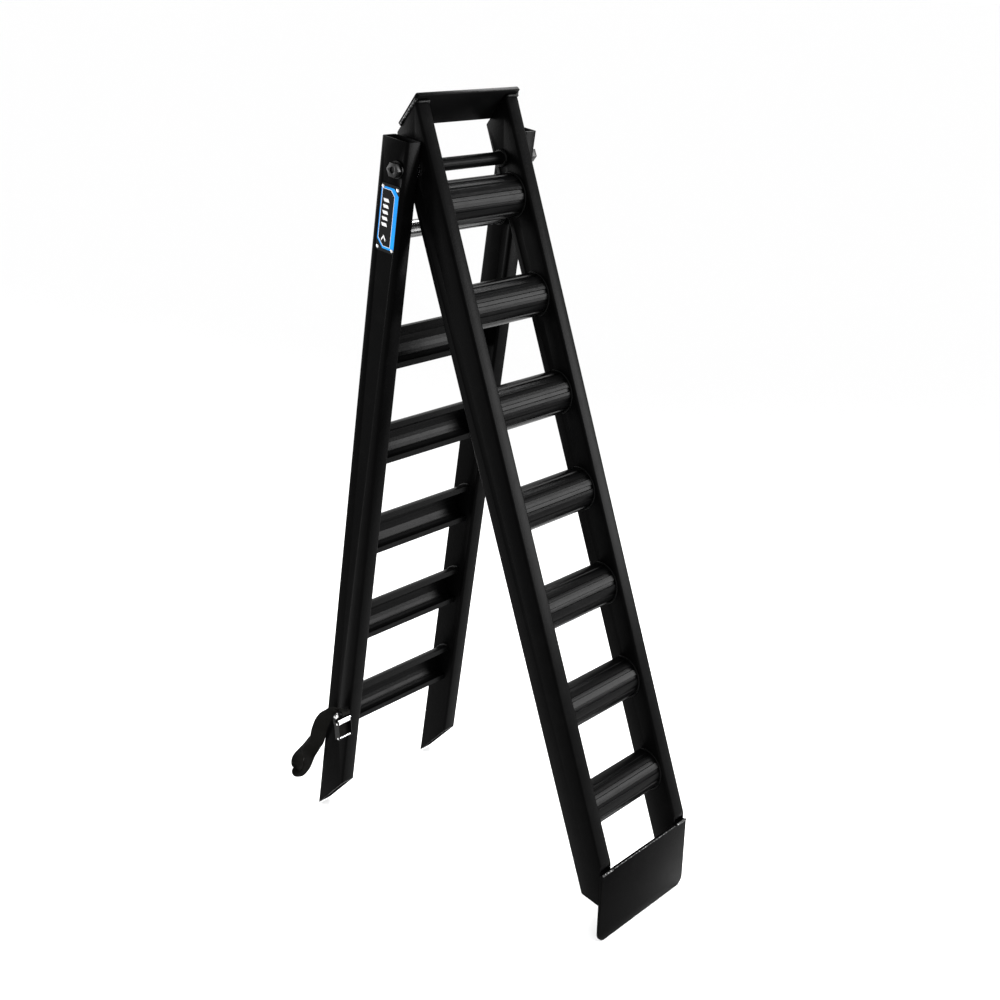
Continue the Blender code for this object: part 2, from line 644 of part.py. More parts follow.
# The tail's route as (x, face, down, across x, across face, across up) in the lower half's
# frame. It rises through the buckle, arches over beside the rail, falls, and ends in a hand
# loop whose end lies behind the fall.
TAIL_ROUTE = (
    (-0.1510, -0.0199, 0.9058, 1.00, 0.00, 0.00),
    (-0.1510, -0.0167, 0.8922, 1.00, 0.00, 0.00),
    (-0.1510, -0.0142, 0.8815, 1.00, 0.00, 0.00),
    (-0.1510, -0.0128, 0.8752, 1.00, 0.00, 0.00),
    (-0.1508, -0.0155, 0.8700, 0.97, 0.12, -0.22),
    (-0.1495, -0.0185, 0.8660, 0.90, 0.22, -0.38),
    (-0.1500, -0.0174, 0.8618, 0.86, 0.22, -0.46),
    (-0.1510, -0.0112, 0.8598, 0.84, 0.18, -0.51),
    (-0.1525, -0.0036, 0.8611, 0.83, 0.12, -0.54),
    (-0.1530, 0.0031, 0.8654, 0.82, 0.05, -0.57),
    (-0.1535, 0.0089, 0.8723, 0.80, -0.05, -0.60),
    (-0.1540, 0.0149, 0.8803, 0.77, -0.20, -0.61),
    (-0.1540, 0.0208, 0.8900, 0.73, -0.36, -0.58),
    (-0.1545, 0.0263, 0.9028, 0.70, -0.52, -0.48),
    (-0.1550, 0.0303, 0.9185, 0.74, -0.53, -0.42),
    (-0.1525, 0.0345, 0.9334, 0.78, -0.52, -0.34),
    (-0.1500, 0.0390, 0.9487, 0.78, -0.58, -0.23),
    (-0.1500, 0.0465, 0.9630, 0.62, -0.78, 0.05),
    (-0.1520, 0.0520, 0.9765, 0.40, -0.90, 0.10),
    (-0.1528, 0.0525, 0.9890, -0.05, -0.97, 0.18),
    (-0.1530, 0.0543, 1.0011, -0.28, -0.93, 0.22),
    (-0.1543, 0.0585, 1.0132, -0.42, -0.88, 0.26),
    (-0.1547, 0.0656, 1.0206, -0.64, -0.74, 0.21),
    (-0.1532, 0.0723, 1.0217, -0.84, -0.52, 0.16),
    (-0.1510, 0.0788, 1.0160, -0.98, 0.02, 0.12),
    (-0.1489, 0.0812, 1.0070, -0.98, 0.14, 0.12),
    (-0.1465, 0.0788, 0.9965, -0.98, 0.14, 0.12),
    (-0.1443, 0.0741, 0.9860, -0.98, 0.12, 0.12),
    (-0.1428, 0.0684, 0.9750, -0.99, 0.04, 0.12),
    (-0.1414, 0.0629, 0.9641, -0.99, -0.04, 0.12),
    (-0.1399, 0.0574, 0.9531, -0.99, -0.04, 0.12),
    (-0.1387, 0.0514, 0.9421, -0.99, -0.04, 0.12),
    (-0.1379, 0.0454, 0.9316, -0.99, -0.04, 0.12),
)


def strap_tail(parts, parent):
    stations = []
    for x, face, down, across_x, across_face, across_up in TAIL_ROUTE:
        stations.append((Vector((x, face, -down)), Vector((across_x, across_face, across_up))))
    tail = ribbon("strap_tail", parts, stations, WEB_WIDTH, WEB_THICKNESS)
    place(tail, parent)


def main():
    clear_scene()
    parts = new_collection("folding_loading_ramp")
    cutters = new_collection("cutters")
    upper = half_empty("upper_half", -UPPER_LEAN, parts)
    lower = half_empty("lower_half", LOWER_LEAN, parts)
    upper_half(parts, cutters, upper)
    lower_half(parts, cutters, lower)


main()
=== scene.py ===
import math
import json
import random

import bmesh
import bpy
from mathutils import Matrix, Vector


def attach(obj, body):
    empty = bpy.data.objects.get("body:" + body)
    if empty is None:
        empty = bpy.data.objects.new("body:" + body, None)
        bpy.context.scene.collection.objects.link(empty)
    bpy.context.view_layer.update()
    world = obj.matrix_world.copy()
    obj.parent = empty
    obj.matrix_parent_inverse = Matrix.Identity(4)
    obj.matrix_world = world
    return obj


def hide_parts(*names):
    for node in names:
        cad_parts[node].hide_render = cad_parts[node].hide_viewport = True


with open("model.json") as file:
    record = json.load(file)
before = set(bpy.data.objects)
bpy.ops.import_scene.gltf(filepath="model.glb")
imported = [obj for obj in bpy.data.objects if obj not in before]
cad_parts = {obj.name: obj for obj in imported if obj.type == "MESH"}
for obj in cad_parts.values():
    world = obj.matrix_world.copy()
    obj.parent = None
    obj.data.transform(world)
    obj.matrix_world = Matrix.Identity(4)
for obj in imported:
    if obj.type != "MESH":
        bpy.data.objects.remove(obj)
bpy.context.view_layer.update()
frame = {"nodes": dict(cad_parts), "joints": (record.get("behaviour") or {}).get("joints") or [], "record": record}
NODES = frame["nodes"]

UPPER = "upper_half"
LOWER = "lower_half"
HINGE = Vector(next(j for j in frame["joints"] if j["name"] == "fold")["pos_m"])
UPPER_LEAN = math.radians(21.1)
LOWER_LEAN = math.radians(6.6)

# The halves' own axes, from the hinge: X across, Y through the half, Z up along it.
SPACES = {
    UPPER: Matrix.Translation(HINGE) @ Matrix.Rotation(-UPPER_LEAN, 4, "X"),
    LOWER: Matrix.Translation(HINGE) @ Matrix.Rotation(LOWER_LEAN, 4, "X"),
}

# Sizes of the CAD solids that the visual pieces sit on.
RAIL_WIDTH = 0.027
FACE = 0.036
UPPER_SIDE = 0.213 / 2
LOWER_SIDE = 0.272 / 2
UPPER_TOP = 0.0829
TOP_SLOPE = math.radians(31.7)
STOP_REACH = 0.0465
LIP_START = 1.0347
RUNG_HALF = 0.0325
RUNG_NOSE = 0.0297
RUNG_BACK = 0.0010
UPPER_RUNGS = [0.0555 + 0.1480 * step for step in range(7)]
LOWER_RUNGS = [0.2650 + 0.1525 * step for step in range(5)]
HINGE_TUBE_RADIUS = 0.0095
STOP_BAR_FACE = 0.0140
STOP_BAR_DOWN = 0.0921
STOP_BAR_RADIUS = 0.0127
PLATE_FACE = 0.0080
PLATE_DOWN = 0.0700
PLATE_WIDTH = 0.0355
PLATE_LENGTH = 0.095
PLATE_OUT = LOWER_SIDE + 0.0003 + 0.0008
WEB_WIDTH = 0.025
WEB_THICKNESS = 0.0016

# Rounding of the CAD solids' sharp edges in the visual model.
RAIL_ROUNDING = 0.0006
FLAT_PLATE_ROUNDING = 0.0009
BOLT_ROUNDING = 0.0004
SHARP_ANGLE = math.radians(35)
BEVEL_ANGLE = math.radians(30)


# ---------------------------------------------------------------- materials

class Nodes:
    """Short names for building one material's node tree."""

    def __init__(self, name):
        self.material = bpy.data.materials.new(name)
        self.material.use_nodes = True
        self.tree = self.material.node_tree
        self.shader = self.tree.nodes["Principled BSDF"]

    def add(self, kind, **values):
        node = self.tree.nodes.new(kind)
        for key, value in values.items():
            setattr(node, key, value)
        return node

    def link(self, out_socket, in_socket):
        self.tree.links.new(out_socket, in_socket)

    def set(self, **values):
        for key, value in values.items():
            self.shader.inputs[key.replace("_", " ")].default_value = value

    def place(self, scale=(1, 1, 1)):
        """A place in the object's own metres, stretched by the scale."""
        where = self.add("ShaderNodeTexCoord")
        mapping = self.add("ShaderNodeMapping")
        mapping.inputs["Scale"].default_value = scale
        self.link(where.outputs["Object"], mapping.inputs["Vector"])
        return mapping.outputs["Vector"]

    def noise(self, vector, scale, detail=3.0, roughness=0.5):
        node = self.add("ShaderNodeTexNoise")
        node.inputs["Scale"].default_value = scale
        node.inputs["Detail"].default_value = detail
        node.inputs["Roughness"].default_value = roughness
        self.link(vector, node.inputs["Vector"])
        return node.outputs["Fac"]

    def ramp(self, value, stops):
        node = self.add("ShaderNodeValToRGB")
        elements = node.color_ramp.elements
        while len(elements) < len(stops):
            elements.new(0.5)
        for element, (position, colour) in zip(elements, stops):
            element.position = position
            element.color = (*colour, 1.0)
        self.link(value, node.inputs["Fac"])
        return node.outputs["Color"]

    def span(self, value, low, high):
        """Maps 0..1 to low..high."""
        node = self.add("ShaderNodeMapRange")
        node.inputs["To Min"].default_value = low
        node.inputs["To Max"].default_value = high
        self.link(value, node.inputs["Value"])
        return node.outputs["Result"]

    def math(self, operation, first, second=0.0):
        node = self.add("ShaderNodeMath", operation=operation)
        for socket, value in zip(node.inputs, (first, second)):
            if hasattr(value, "is_linked"):
                self.link(value, socket)
            else:
                socket.default_value = value
        return node.outputs["Value"]

    def mix(self, factor, first, second):
        node = self.add("ShaderNodeMix", data_type="RGBA")
        sockets = (node.inputs[0], node.inputs[6], node.inputs[7])
        for socket, value in zip(sockets, (factor, first, second)):
            if hasattr(value, "is_linked"):
                self.link(value, socket)
            elif isinstance(value, tuple):
                socket.default_value = (*value, 1.0)
            else:
                socket.default_value = value
        return node.outputs[2]

    def bump(self, height, strength, distance):
        node = self.add("ShaderNodeBump")
        node.inputs["Strength"].default_value = strength
        node.inputs["Distance"].default_value = distance
        self.link(height, node.inputs["Height"])
        return node.outputs["Normal"]


def grey(value):
    return (value, value, value)


DUST_TONE = (0.012, 0.0117, 0.0113)
SPECK_TONE = (0.009, 0.009, 0.0094)


def black_coat(name, tone, ior, rough):
    """Satin black powder coat: fine orange peel, a slow drift in tone and faint dust."""
    n = Nodes(name)
    where = n.place()
    cloud = n.noise(where, 9.0, 5.0, 0.55)
    speck = n.noise(where, 900.0, 2.0, 0.6)
    peel = n.noise(where, 420.0, 3.0, 0.55)
    dust = n.ramp(n.noise(where, 38.0, 7.0, 0.68), [(0.52, grey(0.0)), (0.80, grey(1.0))])
    low = (tone * 0.8, tone * 0.8, tone * 0.82)
    high = (tone * 1.3, tone * 1.31, tone * 1.36)
    base = n.mix(cloud, low, high)
    base = n.mix(n.math("MULTIPLY", dust, 0.10), base, DUST_TONE)
    base = n.mix(n.math("MULTIPLY", speck, 0.06), base, SPECK_TONE)
    n.link(base, n.shader.inputs["Base Color"])
    roughness = n.math("ADD", n.span(cloud, *rough), n.math("MULTIPLY", dust, 0.10))
    n.link(roughness, n.shader.inputs["Roughness"])
    n.link(n.bump(peel, 0.35, 0.0004), n.shader.inputs["Normal"])
    n.set(IOR=ior)
    return n.material


def weld_metal(name):
    """Bare aluminium weld, rippled and partly sooty."""
    n = Nodes(name)
    where = n.place()
    soot = n.noise(where, 330.0, 5.0, 0.6)
    colour = n.ramp(soot, [(0.42, grey(0.004)), (0.54, grey(0.035)), (0.70, grey(0.20))])
    n.link(colour, n.shader.inputs["Base Color"])
    n.link(n.span(soot, 0.55, 0.30), n.shader.inputs["Roughness"])
    n.link(n.bump(n.noise(where, 900.0, 3.0), 0.5, 0.0004), n.shader.inputs["Normal"])
    n.set(Metallic=1.0)
    return n.material


def bright_steel(name, tone=0.66, rough=(0.18, 0.34)):
    """Zinc-plated steel with smears and stains."""
    n = Nodes(name)
    where = n.place()
    smear = n.noise(n.place((1, 6, 1)), 160.0, 4.0, 0.6)
    stain = n.noise(where, 60.0, 4.0, 0.6)
    colour = n.mix(stain, grey(tone * 0.62), grey(tone))
    n.link(colour, n.shader.inputs["Base Color"])
    n.link(n.span(smear, *rough), n.shader.inputs["Roughness"])
    n.link(n.bump(smear, 0.15, 0.0001), n.shader.inputs["Normal"])
    n.set(Metallic=1.0)
    return n.material


def dark_steel(name, low=0.010, high=0.040):
    """Black oxide steel, slightly mottled."""
    n = Nodes(name)
    where = n.place()
    stain = n.noise(where, 220.0, 4.0, 0.6)
    n.link(n.mix(stain, grey(low), grey(high)), n.shader.inputs["Base Color"])
    n.link(n.span(stain, 0.30, 0.50), n.shader.inputs["Roughness"])
    n.link(n.bump(n.noise(where, 1200.0, 2.0), 0.25, 0.0002), n.shader.inputs["Normal"])
    n.set(Metallic=0.9)
    return n.material


YARN_PITCH = 0.0021
PICK_PITCH = 0.0018
# The first tone is painted shade for the weave's hollows; the crowns get the yarn's own black.
WEAVE_HOLLOW_SHADE = (0.0008, 0.0008, 0.0007)
WEAVE_CROWN = (0.0070, 0.0068, 0.0058)
WEAVE_FADED = (0.008, 0.0076, 0.0062)


def webbing(name):
    """Black polyester webbing: a basket weave laid out by the strip's own width and length."""
    n = Nodes(name)
    strip = n.add("ShaderNodeUVMap", uv_map="strip")
    parts = n.add("ShaderNodeSeparateXYZ")
    n.link(strip.outputs["UV"], parts.inputs["Vector"])
    yarns = n.math("SINE", n.math("MULTIPLY", parts.outputs["X"], math.tau / YARN_PITCH))
    picks = n.math("SINE", n.math("MULTIPLY", parts.outputs["Y"], math.tau / PICK_PITCH))
    weave = n.math("MULTIPLY", yarns, picks)
    fuzz = n.noise(n.place(), 2600.0, 3.0, 0.7)
    height = n.math("ADD", n.math("ABSOLUTE", weave), n.math("MULTIPLY", fuzz, 0.5))
    faded = n.noise(n.place(), 55.0, 4.0, 0.6)
    # Painted shade: the colour darkens from the weave's crowns into its hollows, following the weave's height.
    shade = n.mix(n.math("ABSOLUTE", weave), WEAVE_HOLLOW_SHADE, WEAVE_CROWN)
    colour = n.mix(n.math("MULTIPLY", faded, 0.25), shade, WEAVE_FADED)
    n.link(colour, n.shader.inputs["Base Color"])
    n.link(n.span(fuzz, 0.60, 0.85), n.shader.inputs["Roughness"])
    n.link(n.bump(height, 0.8, 0.0004), n.shader.inputs["Normal"])
    n.set(IOR=1.12)
    return n.material


def thread(name):
    """Twisted sewing thread, a little lighter than the webbing."""
    n = Nodes(name)
    twist = n.noise(n.place(), 4200.0, 2.0, 0.6)
    n.link(n.mix(twist, grey(0.008), grey(0.030)), n.shader.inputs["Base Color"])
    n.link(n.span(twist, 0.5, 0.7), n.shader.inputs["Roughness"])
    n.link(n.bump(twist, 0.6, 0.0002), n.shader.inputs["Normal"])
    return n.material


def ink(name, low, high):
    """Screen-printed ink on foil: a soft drift between two tones and a fine grain."""
    n = Nodes(name)
    where = n.place()
    drift = n.noise(where, 26.0, 2.0, 0.5)
    grain = n.noise(where, 2400.0, 2.0, 0.6)
    n.link(n.mix(drift, low, high), n.shader.inputs["Base Color"])
    n.link(n.span(grain, 0.22, 0.38), n.shader.inputs["Roughness"])
    n.link(n.bump(grain, 0.12, 0.0001), n.shader.inputs["Normal"])
    n.set(IOR=1.12)
    return n.material


# ---------------------------------------------------------------- CAD nodes

def smooth_and_bevel(obj, width):
    """Welds the loaded mesh's split edges, then rounds its sharp ones."""
    weld = obj.modifiers.new("weld", "WELD")
    weld.merge_threshold = 0.00001
    bevel = obj.modifiers.new("edges", "BEVEL")
    bevel.width = width
    bevel.segments = 2
    bevel.limit_method = "ANGLE"
    bevel.angle_limit = BEVEL_ANGLE


def assign(names, material):
    for name in names:
        data = NODES[name].data
        data.materials.clear()
        data.materials.append(material)


def dress_frame():
    """Puts materials on the CAD nodes and rounds the rails, flat plates, bolt and nut.

    strap_tail gets none, because the webbing replaces it.
    """
    coat = black_coat("coat_rails", 0.0010, 1.072, (0.28, 0.37))
    rung_coat = black_coat("coat_rungs", 0.0014, 1.095, (0.24, 0.34))
    for name in NODES:
        slot = next(s["material_slot"] for s in frame["record"]["subparts"] if s["node"] == name)
        if slot == "black_aluminium":
            assign([name], rung_coat if "rung" in name else coat)
    assign([n for n in NODES if "rivet" in n or n.startswith("spacer")], bright_steel("zinc"))
    assign(["buckle_bar_top", "buckle_bar_bottom", "buckle_lever", "strap_anchor"],
           bright_steel("plated_bar", 0.80, (0.14, 0.26)))
    assign(["hinge_bolt", "hinge_nut"], dark_steel("black_oxide", 0.004, 0.026))
    assign(["head_washer", "nut_washer"], dark_steel("washer_steel", 0.003, 0.010))
    assign(["buckle_frame", "buckle_bracket"], dark_steel("buckle_steel", 0.004, 0.014))
    # The stop bar wears the rails' black coat, made glossier and ten times lighter: the gloss is real, the lighter
    # tone is a painted highlight.
    assign(["stop_bar"], black_coat("coat_stop_bar_painted_highlight", 0.010, 1.60, (0.18, 0.30)))
    assign(["nameplate"], ink("plate_black", grey(0.004), grey(0.008)))
    for obj in NODES.values():
        obj.data.set_sharp_from_angle(angle=SHARP_ANGLE)
    for name in NODES:
        if "rail" in name:
            smooth_and_bevel(NODES[name], RAIL_ROUNDING)
        elif name in ("lip_plate", "stop_plate"):
            smooth_and_bevel(NODES[name], FLAT_PLATE_ROUNDING)
        elif name in ("hinge_bolt", "hinge_nut"):
            smooth_and_bevel(NODES[name], BOLT_ROUNDING)


# ---------------------------------------------------------------- shared shapes

PIECE_SHARP_ANGLE = math.radians(50)


def piece(name, shape, material, half):
    """A new visual piece from a bmesh made in a half's own axes; it rides on that half."""
    bmesh.ops.recalc_face_normals(shape, faces=shape.faces)
    mesh = bpy.data.meshes.new(name)
    shape.to_mesh(mesh)
    shape.free()
    mesh.materials.append(material)
    for polygon in mesh.polygons:
        polygon.use_smooth = True
    mesh.set_sharp_from_angle(angle=PIECE_SHARP_ANGLE)
    obj = bpy.data.objects.new(name, mesh)
    obj.matrix_world = SPACES[half]
    bpy.context.scene.collection.objects.link(obj)
    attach(obj, half)
    return obj


def resample(points, spacing):
    """Evenly spaced points along a polyline."""
    result = [points[0].copy()]
    left = spacing
    for start, end in zip(points, points[1:]):
        step = end - start
        travelled = 0.0
        while step.length - travelled >= left:
            travelled += left
            result.append(start + step.normalized() * travelled)
            left = spacing
        left -= step.length - travelled
    return result


def bead(shape, points, radius, rng, pitch=0.0026):
    """A weld bead along a polyline: overlapping ripples with small random changes of size."""
    around = 8
    spacing = pitch / 4
    centres = resample(points, spacing)
    last = len(centres) - 1
    rings = []
    wander = rng.uniform(0.0, 1.0)
    for index, centre in enumerate(centres):
        before = centres[max(index - 1, 0)]
        after = centres[min(index + 1, last)]
        along = (after - before).normalized()
        side = along.orthogonal().normalized()
        up = along.cross(side)
        phase = (index * spacing / pitch + wander) % 1.0
        swell = 0.86 + 0.20 * (1.0 - phase) ** 0.7 + rng.uniform(-0.03, 0.03)
        taper = min(1.0, 0.35 + 0.3 * min(index, last - index))
        ring = []
        for corner in range(around):
            angle = math.tau * corner / around
            offset = (side * math.cos(angle) + up * math.sin(angle)) * radius * swell * taper
            ring.append(shape.verts.new(centre + offset))
        rings.append(ring)
    for first, second in zip(rings, rings[1:]):
        for corner in range(around):
            following = (corner + 1) % around
            shape.faces.new((first[corner], first[following], second[following], second[corner]))
    shape.faces.new(rings[0])
    shape.faces.new(rings[-1])


def circle(x, y, z, radius, steps=48):
    """Points round a circle about the X axis, with the first one again at the end."""
    points = []
    for step in range(steps + 1):
        angle = math.tau * step / steps
        points.append(Vector((x, y + radius * math.cos(angle), z + radius * math.sin(angle))))
    return points


# ---------------------------------------------------------------- welds

RUNG_BEAD = 0.0016
HINGE_TUBE_BEAD = 0.0032
STOP_BAR_BEAD = 0.0018
PLATE_END_BEAD = 0.0023
PLATE_FRONT_BEAD = 0.0025
PLATE_BEAD_PITCH = 0.0030
PLATE_BEAD_RISE = 0.0012
PLATE_BEAD_OVERHANG = 0.003
FRONT_BEAD_STEP = (-0.0004, -0.0022)    # across the face, up, from the plate's front edge
LIP_BEAD = 0.0019
LIP_BEAD_PITCH = 0.0028
GROUND_EDGE = 0.0007
GROUND_EDGE_PITCH = 0.0050
JOINT_OVERLAP = 0.001
LIP_BEAD_GAP = 0.0002
BEAD_LIFT = 0.0004
TUBE_BEAD_LIFT = 0.0006
END_INSET = 0.0005


def rung_welds(name, half, facing, rungs, wall, material, seed):
    """Beads round both ends of each rung, where its nose meets the rails' inner walls."""
    rng = random.Random(seed)
    shape = bmesh.new()
    for down in rungs:
        for hand in (-1, 1):
            points = []
            for step in range(33):
                angle = math.radians(-88 + 176 * step / 32)
                face = RUNG_BACK + (RUNG_NOSE - RUNG_BACK + BEAD_LIFT) * math.cos(angle)
                rise = (RUNG_HALF + BEAD_LIFT) * math.sin(angle)
                points.append(Vector((hand * (wall - BEAD_LIFT), facing * face, rise - down)))
            bead(shape, points, RUNG_BEAD, rng)
    piece(name, shape, material, half)


def tube_welds(name, half, centre, radius, wall, size, material, seed):
    """A bead round each end of a cross tube."""
    rng = random.Random(seed)
    shape = bmesh.new()
    for hand in (-1, 1):
        x = hand * (wall - TUBE_BEAD_LIFT)
        bead(shape, circle(x, *centre, radius + TUBE_BEAD_LIFT), size, rng)
    piece(name, shape, material, half)


def stop_plate_welds(bare, coat):
    """Beads along the stop plate's ends and under its front edge, on each rail."""
    rng = random.Random(31)
    ends = bmesh.new()
    front = bmesh.new()
    seat = Vector((0.0, -FACE, UPPER_TOP))
    along = Vector((0.0, math.cos(TOP_SLOPE), -math.sin(TOP_SLOPE)))
    up = Vector((0.0, math.sin(TOP_SLOPE), math.cos(TOP_SLOPE)))
    for hand in (-1, 1):
        outer = Vector((hand * (UPPER_SIDE - END_INSET), 0.0, 0.0))
        start = outer + seat + up * PLATE_BEAD_RISE
        line = [start - along * PLATE_BEAD_OVERHANG, start + along * STOP_REACH]
        bead(ends, line, PLATE_END_BEAD, rng, PLATE_BEAD_PITCH)
        inner = Vector((hand * (UPPER_SIDE - RAIL_WIDTH + JOINT_OVERLAP), 0.0, 0.0))
        edge = seat + Vector((0.0, *FRONT_BEAD_STEP))
        bead(front, [inner + edge, outer + edge], PLATE_FRONT_BEAD, rng, PLATE_BEAD_PITCH)
    piece("stop_plate_end_welds", ends, bare, UPPER)
    piece("stop_plate_front_welds", front, coat, UPPER)


def lip_welds(bare):
    """Bare beads where the lip plate's top edge meets the rails, and its ground edge between."""
    rng = random.Random(32)
    beads = bmesh.new()
    edge = bmesh.new()
    inner = UPPER_SIDE - RAIL_WIDTH
    height = Vector((0.0, -FACE - LIP_BEAD_GAP, -LIP_START + BEAD_LIFT))
    across_rail = (inner + END_INSET, UPPER_SIDE - END_INSET)
    for hand in (-1, 1):
        line = [Vector((hand * x, 0.0, 0.0)) + height for x in across_rail]
        bead(beads, line, LIP_BEAD, rng, LIP_BEAD_PITCH)
    line = [Vector((hand * (inner - JOINT_OVERLAP), 0.0, 0.0)) + height for hand in (-1, 1)]
    bead(edge, line, GROUND_EDGE, rng, GROUND_EDGE_PITCH)
    piece("lip_rail_welds", beads, bare, UPPER)
    piece("lip_ground_edge", edge, bare, UPPER)


def welds():
    """Every weld bead. The numbers at the calls' ends are random seeds."""
    coat = black_coat("coat_welds", 0.0018, 1.14, (0.24, 0.36))
    bare = weld_metal("bare_weld")
    upper_wall = UPPER_SIDE - RAIL_WIDTH
    lower_wall = LOWER_SIDE - RAIL_WIDTH
    rung_welds("upper_rung_welds", UPPER, -1, UPPER_RUNGS, upper_wall, coat, 11)
    rung_welds("lower_rung_welds", LOWER, 1, LOWER_RUNGS, lower_wall, coat, 12)
    tube_welds("hinge_tube_welds", UPPER, (0.0, 0.0), HINGE_TUBE_RADIUS, upper_wall,
               HINGE_TUBE_BEAD, coat, 13)
    tube_welds("stop_bar_welds", LOWER, (STOP_BAR_FACE, -STOP_BAR_DOWN), STOP_BAR_RADIUS,
               lower_wall, STOP_BAR_BEAD, coat, 14)
    stop_plate_welds(bare, coat)
    lip_welds(bare)


# ---------------------------------------------------------------- nameplate print

INK_THICKNESS = 0.00004
PRINT_SIDE_MARGIN = 0.0012
PRINT_END_MARGIN = 0.0045
BORDER_LEFT = 0.0016
BORDER_RIGHT = 0.0070
BORDER_END = 0.0030
LINE_WIDTH = 0.0006
BLUE_CUTS = (0.009, 0.012)          # top right, bottom left
WHITE_CUTS = (0.0075, 0.0105)
BLACK_CUTS = (0.0073, 0.0103)
BAR_PITCH = 0.0085


def print_layer(name, outlines, level, material):
    """Flat shapes of ink on the nameplate. An outline's points are (towards the face, up)."""
    shape = bmesh.new()
    x = -PLATE_OUT - level * INK_THICKNESS
    for outline in outlines:
        verts = []
        for across, rise in outline:
            verts.append(shape.verts.new((x, PLATE_FACE + across, rise - PLATE_DOWN)))
        shape.faces.new(verts)
    solid = bmesh.ops.extrude_face_region(shape, geom=shape.faces[:])
    moved = [item for item in solid["geom"] if isinstance(item, bmesh.types.BMVert)]
    bmesh.ops.translate(shape, verts=moved, vec=(-INK_THICKNESS, 0.0, 0.0))
    piece(name, shape, material, LOWER)


def cut_corner_panel(left, right, top, bottom, cut_top, cut_bottom):
    """A panel whose top right and bottom left corners are cut off, as seen from outside."""
    return [
        (left, top), (left, bottom + cut_bottom), (left - cut_bottom, bottom),
        (right, bottom), (right, top - cut_top), (right + cut_top, top),
    ]


def slanted_bar(middle, rise, width, height, slant):
    """A four-cornered bar whose upper end is moved sideways by the slant."""
    half = width / 2
    return [
        (middle - half, rise), (middle + half, rise),
        (middle + half + slant, rise + height), (middle - half + slant, rise + height),
    ]


def nameplate_print():
    """A blue border, a white line and a black field with plain bars and a chevron."""
    blue = ink("ink_blue", (0.004, 0.12, 0.50), (0.02, 0.38, 0.90))
    white = ink("ink_white", grey(0.62), grey(0.80))
    black = ink("ink_black", grey(0.003), grey(0.006))
    left = PLATE_WIDTH / 2 - PRINT_SIDE_MARGIN
    right = -PLATE_WIDTH / 2 + PRINT_SIDE_MARGIN
    top = PLATE_LENGTH / 2 - PRINT_END_MARGIN
    bottom = -PLATE_LENGTH / 2 + PRINT_END_MARGIN
    blue_panel = cut_corner_panel(left, right, top, bottom, *BLUE_CUTS)
    left -= BORDER_LEFT
    right += BORDER_RIGHT
    top -= BORDER_END
    bottom += BORDER_END
    white_panel = cut_corner_panel(left, right, top, bottom, *WHITE_CUTS)
    left -= LINE_WIDTH
    right += LINE_WIDTH
    top -= LINE_WIDTH
    bottom += LINE_WIDTH
    black_panel = cut_corner_panel(left, right, top, bottom, *BLACK_CUTS)
    print_layer("nameplate_print_blue", [blue_panel], 1, blue)
    print_layer("nameplate_print_line", [white_panel], 2, white)
    print_layer("nameplate_print_black", [black_panel], 3, black)
    bars = []
    for step in range(5):
        bars.append(slanted_bar(0.0045, -0.012 + BAR_PITCH * step, 0.0095, 0.0045, 0.0022))
    chevron = [
        (0.0085, -0.030), (0.0045, -0.024), (0.0005, -0.030),
        (0.0005, -0.0335), (0.0045, -0.0275), (0.0085, -0.0335),
    ]
    bars.append(chevron)
    print_layer("nameplate_print_bars", bars, 4, white)


# ---------------------------------------------------------------- tie strap

